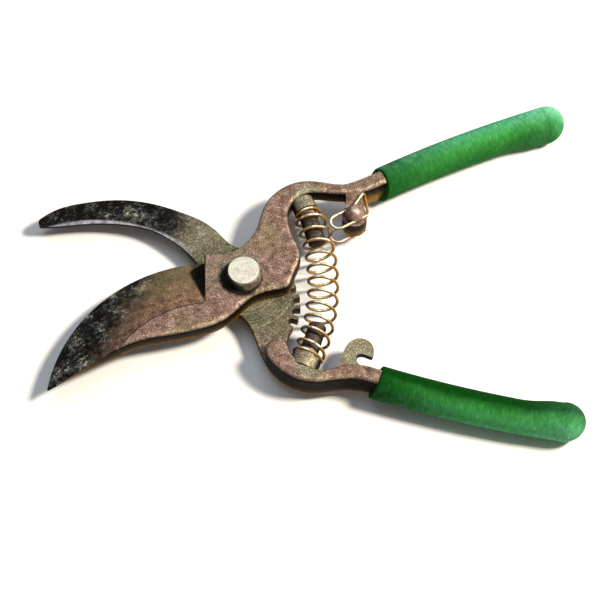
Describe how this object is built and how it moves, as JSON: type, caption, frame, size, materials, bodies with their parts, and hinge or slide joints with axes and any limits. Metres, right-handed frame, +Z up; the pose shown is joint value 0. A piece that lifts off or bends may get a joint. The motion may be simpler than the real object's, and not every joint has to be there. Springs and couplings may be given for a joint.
{
  "type": "bypass pruning shears",
  "caption": "Forged bypass pruning shears lying open: hollow-ground blade, curved hook jaw, dipped vinyl grips, bowed return spring and a wire bail latch.",
  "frame": {"origin": "on the pivot's axis, in the plane that the shears lie on, which is the nut's underside", "axes": "+Z up along the pivot's axis towards the bolt's head, +X towards the handles and away from the jaws, +Y towards the blade arm's handle"},
  "size_m": [0.2085, 0.1459, 0.0205],
  "materials": {
    "hook_steel": "worn forged steel, darkened towards the jaw",
    "blade_steel": "worn forged steel with dried sap",
    "green_vinyl": "dipped vinyl, slightly worn gloss",
    "bolt_steel": "turned steel",
    "washer_steel": "plain steel",
    "rivet_steel": "worn domed steel",
    "latch_wire": "bright drawn wire with a warm tint",
    "spring_wire": "bright drawn wire"
  },
  "bodies": {
    "hook_side": {"hook_arm": "hook_steel", "hook_grip": "green_vinyl", "pivot_bolt": "bolt_steel", "pivot_nut": "bolt_steel", "pivot_washer": "washer_steel", "main_spring": "spring_wire"},
    "blade_side": {"blade_arm": "blade_steel", "blade_grip": "green_vinyl", "latch_rivet": "rivet_steel"},
    "latch_pivot": {"latch_washers": "washer_steel"},
    "latch_loop": {"latch_bail": "latch_wire"}
  },
  "joints": [
    {"name": "main_pivot", "type": "hinge", "parent": "hook_side", "child": "blade_side", "pos_m": [0, 0, 0.0085], "axis": [0, 0, 1], "range_deg": [-51.5, 0], "stiffness_Nm_per_rad": 0.8, "springref_deg": 14.32, "deforming": ["main_spring"]},
    {"name": "latch_swing", "type": "hinge", "parent": "blade_side", "child": "latch_pivot", "pos_m": [0.0425, 0.0274, 0.0095], "axis": [0, 0, 1], "range_deg": [-88, 0]},
    {"name": "latch_reach", "type": "slide", "parent": "latch_pivot", "child": "latch_loop", "axis": [0.8704, 0.4924, 0], "range_m": [0, 0.0077]}
  ]
}
